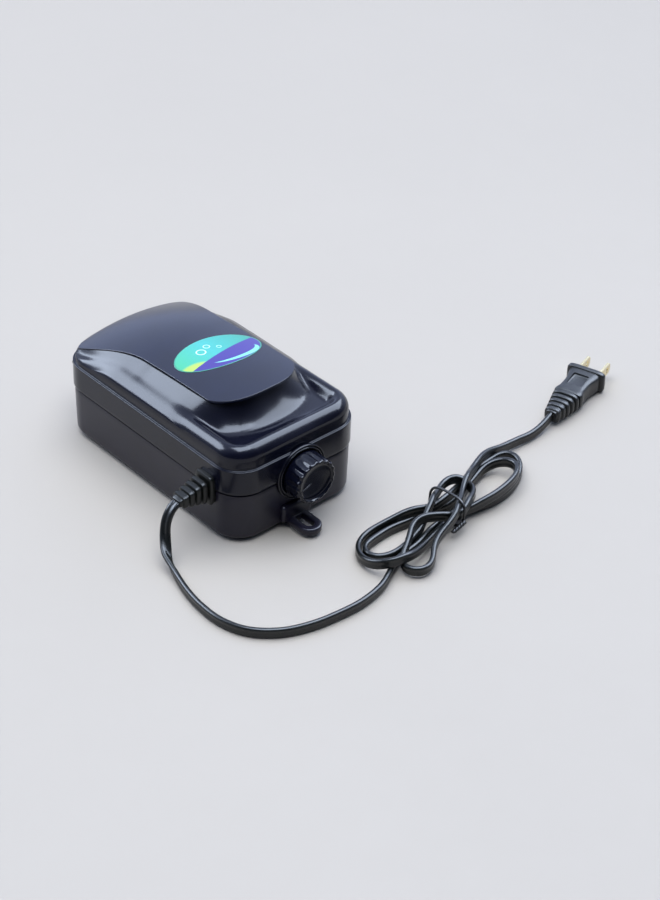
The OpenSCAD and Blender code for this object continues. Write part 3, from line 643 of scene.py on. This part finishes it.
def build_upper():
    rings = []

    def flat(inset, z):
        rings.append([(x, y, z) for x, y in outline(inset)])

    # inner wall, seam edge, band and ledge
    for inset, z in ((3.9, 46.0), (3.6, 40.0), (3.6, 32.6), (3.3, 32.25),
                     (0.6, SEAM_Z), (0.22, SEAM_Z), (0.06, 32.26), (0.0, 32.42),
                     (0.0, 33.6), (0.0, 36), (0.0, 40), (0.0, 44), (0.0, 46.3), (0.0, 46.6),
                     (0.06, 46.82), (0.2, 46.95), (0.45, LEDGE_Z), (0.9, LEDGE_Z),
                     (1.2, 47.03), (1.36, 47.15), (1.42, 47.4)):
        flat(inset, z)
    for up in (0.3, 0.65, 1.0):
        ring = []
        for x, y in outline(1.42 + 0.08 * up):
            wall_top = rim_top(y)
            wall_top -= min(RIM_R, wall_top - WALL_FOOT)
            ring.append((x, y, 47.4 + (wall_top - 47.4) * up))
        rings.append(ring)
    edge = outline(WALL_INSET)

    def inward(d):
        ring = []
        for x0, y0 in edge:
            cx = max(-(HALF_W - CORNER_R), min(HALF_W - CORNER_R, x0))
            cy = max(-(HALF_L - CORNER_R), min(HALF_L - CORNER_R, y0))
            dx, dy = x0 - cx, y0 - cy
            ln = math.hypot(dx, dy)
            x, y = cx + dx * (ln - d) / ln, cy + dy * (ln - d) / ln
            ring.append((x, y, surface(x, y, d)))
        return ring

    walls = len(rings)
    for k in range(1, 13):
        rings.append(inward(RIM_R * (1 - math.cos(math.radians(90 * k / 12)))))
    for k in range(1, 11):
        rings.append(inward(RIM_R + 0.62 * k))
    # the rest shrinks evenly onto a line along the middle
    last, d0, steps = rings[-1], RIM_R + 6.2, 44
    for k in range(1, steps + 1):
        t = k / steps
        ring = []
        for x0, y0, _ in last:
            end = max(-34.0, min(60.0, y0))
            x, y = x0 * (1 - t), y0 * (1 - t) + end * t
            ring.append((x, y, surface(x, y, d0 + 33 * t)))
        rings.append(ring)
    # the inner skin repeats the top, lower by the thickness of the shell
    inner = [[(a, b, c - SHELL) for a, b, c in r] for r in rings[:walls + 8:-1]]
    v, f = loft([[(a * MM, b * MM, c * MM) for a, b, c in r] for r in inner + rings], cap0=False, cap1=False)
    ob = mesh_obj("upper_case", v, f, MAT["upper"])
    bm = bmesh.new()
    bm.from_mesh(ob.data)
    bmesh.ops.remove_doubles(bm, verts=bm.verts, dist=0.00001)
    bm.to_mesh(ob.data)
    bm.free()
    return ob


def build_base():
    rings = []

    def flat(inset, z):
        rings.append([(x * MM, y * MM, z * MM) for x, y in outline(inset, nx=10, ny=16)])

    for inset, z in ((3.9, 5.0), (3.9, 32.1), (2.4, 32.1), (2.2, 31.9), (2.2, 30.9), (1.2, 30.9),
                     (0.9, 30.88), (0.75, 30.8), (0.7, BASE_TOP),
                     (0.75, 28), (0.9, 20), (1.1, 12), (1.25, 7)):
        flat(inset, z)
    for k in range(8):
        a = math.radians(90 * k / 7)
        flat(1.3 + 3 * (1 - math.cos(a)), 5 - 3 * math.sin(a))
    flat(10, 2.0)
    v, f = loft(rings, cap0=True, cap1=True)
    ob = mesh_obj("lower_case", v, f, MAT["lower"])

    def hole(c0, c1, r, n=40):
        c0, c1 = ([q * MM for q in c] for c in (c0, c1))
        cuts.append(join("cut", [tube(c0, c1, r * MM, n)]))

    # screw wells, the air inlet and the two outlets
    cuts = []
    for x in (-37, 37):
        for y in (-30, 46):
            hole((x, y, -1), (x, y, 6.4), 3.4)
    hole((0, 20, -1), (0, 20, 3.6), 11.05, 64)
    for x in (-22, 22):
        hole((x, 60, 24), (x, 80, 24), 3.0)
    cut(ob, cuts)
    return ob


def tab_shape():
    """Tongue with a slot: an outer and an inner skin, joined by the top and bottom faces."""
    cx, tip, n = -3.0, -86.5, 24

    def loop(half, root, z):
        """U round the tip, from the root on the right to the root on the left."""
        run = [root + (tip - root) * j / 4 for j in range(4)]
        arc = [math.radians(-180 * k / n) for k in range(n + 1)]
        return ([(cx + half, y, z) for y in run] +
                [(cx + half * math.cos(a), tip + half * math.sin(a), z) for a in arc] +
                [(cx - half, y, z) for y in run[::-1]])

    outer = [loop(6.5 - inset, -73.0, z) for inset, z in
             ((1.2, 2.1), (0.7, 2.2), (0.25, 2.45), (0.0, 2.9), (0.0, 5.8), (0.2, 6.2), (0.6, 6.45),
              (1.1, 6.5))]
    slot = [loop(2.5 + flare, -77.6 + flare, z) for flare, z in
            ((1.0, 2.1), (0.4, 2.25), (0.0, 2.8), (0.0, 5.8), (0.3, 6.3), (0.9, 6.5))]
    m = len(outer[0])
    verts = [tuple(q * MM for q in p) for ring in outer + slot for p in ring]
    faces = []
    starts = [m * i for i in range(len(outer) + len(slot))]
    outs, ins = starts[:len(outer)], starts[len(outer):]
    for a, b in zip(outs, outs[1:]):
        faces += [(a + k, a + k + 1, b + k + 1, b + k) for k in range(m - 1)]
    for a, b in zip(ins, ins[1:]):
        faces += [(a + k, b + k, b + (k + 1) % m, a + (k + 1) % m) for k in range(m)]
    for a, b in ((outs[-1], ins[-1]), (outs[0], ins[0])):
        faces += [(a + k, a + k + 1, b + k + 1, b + k) for k in range(m - 1)]
        faces.append((a, b, b + m - 1, a + m - 1))
    return verts, faces


def build_tab():
    """Slotted hanging tab with a thick root on the front wall."""
    root = rounded_box([q * MM for q in (-13, -76.8, 4.2)], [q * MM for q in (7, -71, 14.6)], 1.8 * MM, 5)
    return join("hanging_tab", [tab_shape(), root], MAT["lower"])


def build_panel():
    """Cover plate: rows from the rounded front edge to the back, thickened and bevelled."""
    nu, nv, back = 56, 64, 72.6

    def front(u):
        return -48.6 + 16 * (1 - (1 - min(1.0, abs(u)) ** 2.65) ** 0.68)

    # closer together near the rounded ends of each row
    evenly = [-1 + 2 * i / nu for i in range(nu + 1)]
    us = [math.sin(math.pi / 2 * t) * 0.55 + t * 0.45 for t in evenly]
    verts, faces = [], []
    for j in range(nv + 1):
        v = (j / nv) ** 1.15
        for u in us:
            y = front(u) + (back - front(u)) * v
            x = u * panel_half(y)
            verts.append((x * MM, y * MM, cover_z(x, y) * MM))
    w = nu + 1
    for j in range(nv):
        for i in range(nu):
            a = j * w + i
            faces.append((a, a + 1, a + w + 1, a + w))
    ob = mesh_obj("top_cover", verts, faces, MAT["panel"])
    faces_up = sum(p.normal.z for p in ob.data.polygons) > 0
    modify(ob, "SOLIDIFY", thickness=COVER_T * MM, offset=-1 if faces_up else 1, use_even_offset=True)
    modify(ob, "BEVEL", width=0.0005, segments=3, limit_method="ANGLE", angle_limit=math.radians(50))
    apply_all(ob)
    smooth_by_angle(ob, 40)
    return ob


def build_label():
    """Elliptical sticker lying on the cover, closed below; its UVs run from -1 to 1."""
    nr, na = 14, 96
    cx, cy, half_x, half_y, slant = 2.3, -3.8, 26.0, 14.8, 0.08
    face, under = 0.16, 0.02
    verts, uvs, faces = [], [], []

    def put(s, t, lift):
        u, v = s * math.cos(t), s * math.sin(t)
        x, y = cx + half_x * u, cy + half_y * v - slant * half_x * u
        verts.append((x * MM, y * MM, (cover_z(x, y) + lift) * MM))
        uvs.append((u, v))

    rows = [(k / nr, face) for k in range(1, nr + 1)] + [(1.004, 0.12), (1.006, under)]
    put(0, 0, face)
    for s, lift in rows:
        for i in range(na):
            put(s, 2 * math.pi * i / na, lift)
    put(0, 0, under)
    edge = 1 + (len(rows) - 1) * na
    for i in range(na):
        j = (i + 1) % na
        faces.append((0, 1 + i, 1 + j))
        faces.append((len(verts) - 1, edge + j, edge + i))
        for p in range(1, edge, na):
            faces.append((p + i, p + na + i, p + na + j, p + j))
    me = bpy.data.meshes.new("label")
    me.from_pydata(verts, [], faces)
    uv = me.uv_layers.new(name="sticker")
    for p in me.polygons:
        p.use_smooth = True
        for li in p.loop_indices:
            uv.data[li].uv = uvs[me.loops[li].vertex_index]
    ob = bpy.data.objects.new("label_sticker", me)
    bpy.context.scene.collection.objects.link(ob)
    me.materials.append(label_material())
    return ob


def turned(profile, n, radius=None):
    """Lathe about the knob's axis: profile of (r, y); radius(r, y, angle) may reshape it."""
    rings = []
    for r, y in profile:
        ring = []
        for k in range(n):
            a = 2 * math.pi * k / n
            q = radius(r, y, a) if radius else r
            ring.append((q * math.sin(a) * MM, y * MM, (KNOB_Z + q * math.cos(a)) * MM))
        rings.append(ring)
    return rings


def build_ring():
    """Escutcheon with two raised beads."""
    prof = [(5.2, -74.4), (5.2, -75.4), (12.6, -75.45), (13.6, -75.5),
            (13.85, -75.6), (13.95, -76.1), (14.15, -76.35), (14.4, -76.4), (14.65, -76.3), (14.8, -76.0),
            (14.9, -75.55), (15.05, -75.4), (15.25, -75.5),
            (15.35, -75.85), (15.5, -76.1), (15.8, -76.15), (16.1, -76.0), (16.25, -75.65),
            (16.3, -75.1), (16.3, -74.2)]
    v, f = loft(turned(prof, 128), closed=True)
    return mesh_obj("knob_ring_trim", v, f, MAT["ring"])


def build_knob():
    """Fluted cap with a dished face and a thin raised pointer."""
    flutes, depth = 20, 0.72

    def flute(r, y, a):
        # scallops between narrow lands, fading out at the skirt and shallower at the rim
        if r < KNOB_R - 1.8:
            return r
        scallop = math.sin(math.pi * ((a * flutes / (2 * math.pi)) % 1.0)) ** 1.2
        fade = min(1.0, max(0.0, (-77.6 - y) / 7.5)) * (1 - 0.35 * ss((KNOB_FACE + 1.0 - y) / 0.9))
        return r - depth * scallop * fade

    prof = [(9.8, -76.9), (12.2, -76.75), (12.9, -76.75), (13.2, -76.95),
            (KNOB_R, -77.4), (KNOB_R, -78.2), (KNOB_R, -79.5), (13.25, -81), (13.2, -83), (13.2, -85),
            (13.2, -86.3), (13.15, -87.0), (13.0, -87.55), (12.7, -87.95), (12.3, -88.15),
            (11.85, KNOB_FACE), (11.4, -88.1), (11.1, -87.85), (10.9, -87.5), (10.6, -87.2),
            (9.9, -86.95), (8.5, -86.7), (6.5, -86.5), (4.0, -86.4), (1.5, -86.35)]
    parts = [loft(turned(prof, 400, radius=flute))]
    ang = math.radians(74)
    out = np.array([-math.sin(ang), 0.0, -math.cos(ang)])
    side = np.array([-out[2], 0.0, out[0]])
    rings = []
    for k in range(17):
        t = k / 16
        r = 2.2 + 8.0 * t
        c = np.array([0, -86.35 - 0.007 * r * r, KNOB_Z]) + out * r
        h = 0.42 * math.sin(math.pi * t ** 0.8) + 0.03
        arc = [math.pi * j / 8 for j in range(9)]
        ring = [c + side * 0.5 * math.cos(a) - np.array([0, h * math.sin(a), 0]) for a in arc]
        ring.append(c + np.array([0, 0.6, 0]))
        rings.append([tuple(p * MM) for p in ring])
    parts.append(loft(rings))
    return join("control_knob_cap", parts, MAT["knob"])


def block_loft(stations, n=32, power=5.0):
    """Superellipse sections (x, cy, cz, half width in y, half height in z) joined along X."""
    rings = []
    for x, cy, cz, hy, hz in stations:
        ring = []
        for k in range(n):
            a = 2 * math.pi * k / n
            c, s = math.cos(a), math.sin(a)
            ring.append((x * MM, (cy + hy * math.copysign(abs(c) ** (2 / power), c)) * MM,
                         (cz + hz * math.copysign(abs(s) ** (2 / power), s)) * MM))
        rings.append(ring)
    return loft(rings)


def build_boot():
    """Flange on the case wall and a ribbed, tapering tail."""
    cy, cz = CORD_EXIT_Y, CORD_EXIT_Z
    flange = [(-44.2, cy, cz, 6.4, 8.6), (-46.6, cy, cz, 6.8, 9.1), (-47.4, cy, cz, 6.6, 8.9),
              (-47.8, cy, cz, 6.0, 8.3), (-47.9, cy, cz, 4.5, 6.8)]
    tail = [(-46.0, cy, cz, 4.6, 5.0), (-50.0, cy, cz, 4.5, 4.8), (-58.0, cy, cz - 0.2, 4.1, 3.2),
            (-65.0, cy, cz - 0.8, 3.7, 2.3), (-65.8, cy, cz - 0.9, 3.2, 1.9)]
    parts = [block_loft(flange, 48, 6), block_loft(tail, 32, 4)]
    for i in range(4):
        x0 = -49.2 - 3.9 * i
        x1 = x0 - 2.85
        c = cz - 0.18 * i
        hy, hz = 6.1 - 0.42 * i, 6.9 - 1.05 * i
        rib = [(x0, c, 0.45, 0.45), (x0 - 0.2, c, 0.1, 0.1), (x0 - 0.55, c, 0, 0),
               (x1 + 0.55, c - 0.1, 0.1, 0.15), (x1 + 0.2, c - 0.1, 0.2, 0.25), (x1, c - 0.1, 0.55, 0.6)]
        parts.append(block_loft([(x, cy, z, hy - a, hz - b) for x, z, a, b in rib], 40, 5))
    return join("cord_boot", parts, MAT["boot"])


PLUG_AT, PLUG_TURN = (0.210, -0.085), math.radians(18)


def placed(v):
    """From the plug's own axes, blades along +x, to its place on the floor."""
    c, s = math.cos(PLUG_TURN), math.sin(PLUG_TURN)
    return [(PLUG_AT[0] + x * c - y * s, PLUG_AT[1] + x * s + y * c, z) for x, y, z in v]


def build_plug():
    """Flange, waisted grip with a recess on top, and a ribbed tail."""
    h = PLUG_Z
    flange = [(0, 11.2, 6.25), (-0.25, 11.55, 6.6), (-0.7, 11.7, 6.75), (-2.2, 11.7, 6.75),
              (-2.7, 11.5, 6.55), (-3.0, 11.1, 6.2)]
    parts = [block_loft([(x, 0, h, hy, hz) for x, hy, hz in flange], 64, 6)]
    stations = []
    for k in range(25):
        t = k / 24
        hy = 9.7 - 1.9 * ss(t / 0.5) + 1.0 * ss((t - 0.72) / 0.22)
        hz = 6.1 - 0.9 * ss(t / 0.8)
        if k == 24:
            hy, hz = hy - 0.6, hz - 0.5
        stations.append((-2.6 - 23.0 * t, 0, h - 0.25, hy, hz))
    grip = mesh_obj("grip", *block_loft(stations, 56, 5))
    recess = rounded_box([q * MM for q in (-18.5, -4.8, 11.0)], [q * MM for q in (-7.5, 4.8, 15)],
                         1.2 * MM, 4)
    cut(grip, [mesh_obj("cut", *recess)])
    parts.append(([tuple(q.co) for q in grip.data.vertices], [tuple(q.vertices) for q in grip.data.polygons]))
    bpy.data.objects.remove(grip, do_unlink=True)
    tail = [(-25.0, 0, 6.3, 6.6, 4.9), (-30, 0, 6.3, 6.1, 4.5), (-45.2, 0, 6.2, 3.9, 3.7),
            (-46.0, 0, 6.2, 3.4, 3.2)]
    parts.append(block_loft(tail, 40, 3.5))
    for i in range(5):
        x0 = -26.9 - 4.0 * i
        x1 = x0 - 2.4
        hy, hz = 8.3 - 0.85 * i, 6.0 - 0.36 * i
        rib = [(x0, 0.5, 0.5), (x0 - 0.25, 0.1, 0.1), (x0 - 0.7, 0, 0),
               (x1 + 0.6, 0.1, 0.05), (x1 + 0.2, 0.3, 0.25), (x1, 0.7, 0.6)]
        parts.append(block_loft([(x, 0, 6.35, hy - a, hz - b) for x, a, b in rib], 48, 3.2))
    ob = join("plug_moulding", [(placed(v), f) for v, f in parts], MAT["plug"])
    smooth_by_angle(ob, 38)
    return ob


# ---------------------------------------------------------------- build
make_camera()
cord, fine, cord_len = make_cord()
tie = make_tie(fine)

plug = build_plug()
boot = build_boot()

base = build_base()
smooth_by_angle(base, 35)
tab = build_tab()
smooth_by_angle(tab, 40)
upper = build_upper()
panel = build_panel()
label = build_label()
ring = build_ring()
knob = build_knob()
smooth_by_angle(knob, 50)
smooth_by_angle(boot, 40)

for ob in (cord, tie, plug, boot, base, tab, upper, panel, label, ring):
    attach(ob, "case")
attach(knob, "control_knob")

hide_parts("cord_lead", "cord_hank", "cord_tail")
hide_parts("cord_tie")
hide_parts("plug_body")
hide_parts("strain_relief")
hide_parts("base_housing")
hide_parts("upper_housing")
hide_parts("top_panel")
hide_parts("label")
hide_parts("knob_ring")
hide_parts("knob")

node_mats = {
    "steel": ("pot_shaft", "pot_nut", "core_bracket", "bracket_screws", "arm_bracket", "case_screws"),
    "pot": ("pot_body",), "board": ("circuit_board",), "wire": ("lead_wires",), "core": ("magnet_core",),
    "bobbin": ("bobbin",), "copper": ("winding",), "arm": ("arm_left", "arm_right"),
    "magnet": ("magnet_left", "magnet_right"),
    "rubber": ("diaphragm_left", "diaphragm_right", "flap_valves"),
    "chamber": ("chamber_left", "chamber_right"), "hose": ("air_hose_left", "air_hose_right"),
    "outlet": ("air_outlet_left", "air_outlet_right"), "felt": ("inlet_felt",), "cap": ("inlet_cap",),
    "feet": ("rubber_feet",), "blade": ("plug_blades",),
}
for key, nodes in node_mats.items():
    for node in nodes:
        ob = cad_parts[node]
        ob.data.materials.clear()
        ob.data.materials.append(MAT[key])


# ---------------------------------------------------------------- floor and light
def make_stage():
    v = [(-3, -3, 0), (3, -3, 0), (3, 3, 0), (-3, 3, 0)]
    floor = mesh_obj("floor", v, [(0, 1, 2, 3)], None, False)
    m = material("floor_paper", (0.42, 0.404, 0.373), 0.8, noise_scale=60, tint=0.012,
                 bump=0.08, bump_scale=400, spec=0.25)
    floor.data.materials.append(m)
    # dim room, lighter towards the back wall
    world = bpy.data.worlds.new("studio")
    world.use_nodes = True
    nt = world.node_tree
    bg = nt.nodes["Background"]
    bg.inputs["Color"].default_value = (0.72, 0.84, 1.18, 1)
    tc = nt.nodes.new("ShaderNodeTexCoord")
    dot = nt.nodes.new("ShaderNodeVectorMath")
    dot.operation = "DOT_PRODUCT"
    dot.inputs[1].default_value = (0.42, 0.75, 0.50)
    nt.links.new(tc.outputs["Generated"], dot.inputs[0])
    mr = nt.nodes.new("ShaderNodeMapRange")
    mr.inputs["From Min"].default_value = -0.3
    mr.inputs["From Max"].default_value = 1.0
    mr.inputs["To Min"].default_value = 0.05
    mr.inputs["To Max"].default_value = 1.35
    nt.links.new(dot.outputs["Value"], mr.inputs["Value"])
    nt.links.new(mr.outputs["Result"], bg.inputs["Strength"])
    bpy.context.scene.world = world

    def area(name, at, to, size, size_y, power, color):
        d = bpy.data.lights.new(name, "AREA")
        d.energy, d.color = power, color
        d.shape = "RECTANGLE"
        d.size, d.size_y = size, size_y
        ob = bpy.data.objects.new(name, d)
        ob.location = at
        ob.rotation_euler = (Vector(to) - Vector(at)).to_track_quat("-Z", "Y").to_euler()
        bpy.context.scene.collection.objects.link(ob)
        return ob

    # three softboxes seen only in the gloss, and one wide fill seen only in the shading
    for name, at, size, size_y, power in (("box_left", (-0.80, 1.28, 1.06), 1.5, 0.9, 48),
                                          ("box_right", (0.92, -0.24, 1.18), 1.3, 1.2, 44),
                                          ("box_top", (-0.06, -0.30, 1.72), 1.15, 1.1, 44)):
        box = area(name, at, (0, 0, 0.04), size, size_y, power, (0.86, 0.98, 1.18))
        box.visible_diffuse = False
    fill = area("fill", (-0.15, 0.15, 2.3), (0.03, -0.03, 0), 2.8, 2.8, 88, (1.0, 0.985, 0.96))
    fill.visible_glossy = False
    vs = bpy.context.scene.view_settings
    vs.view_transform = "Standard"
    vs.look = "None"


make_stage()
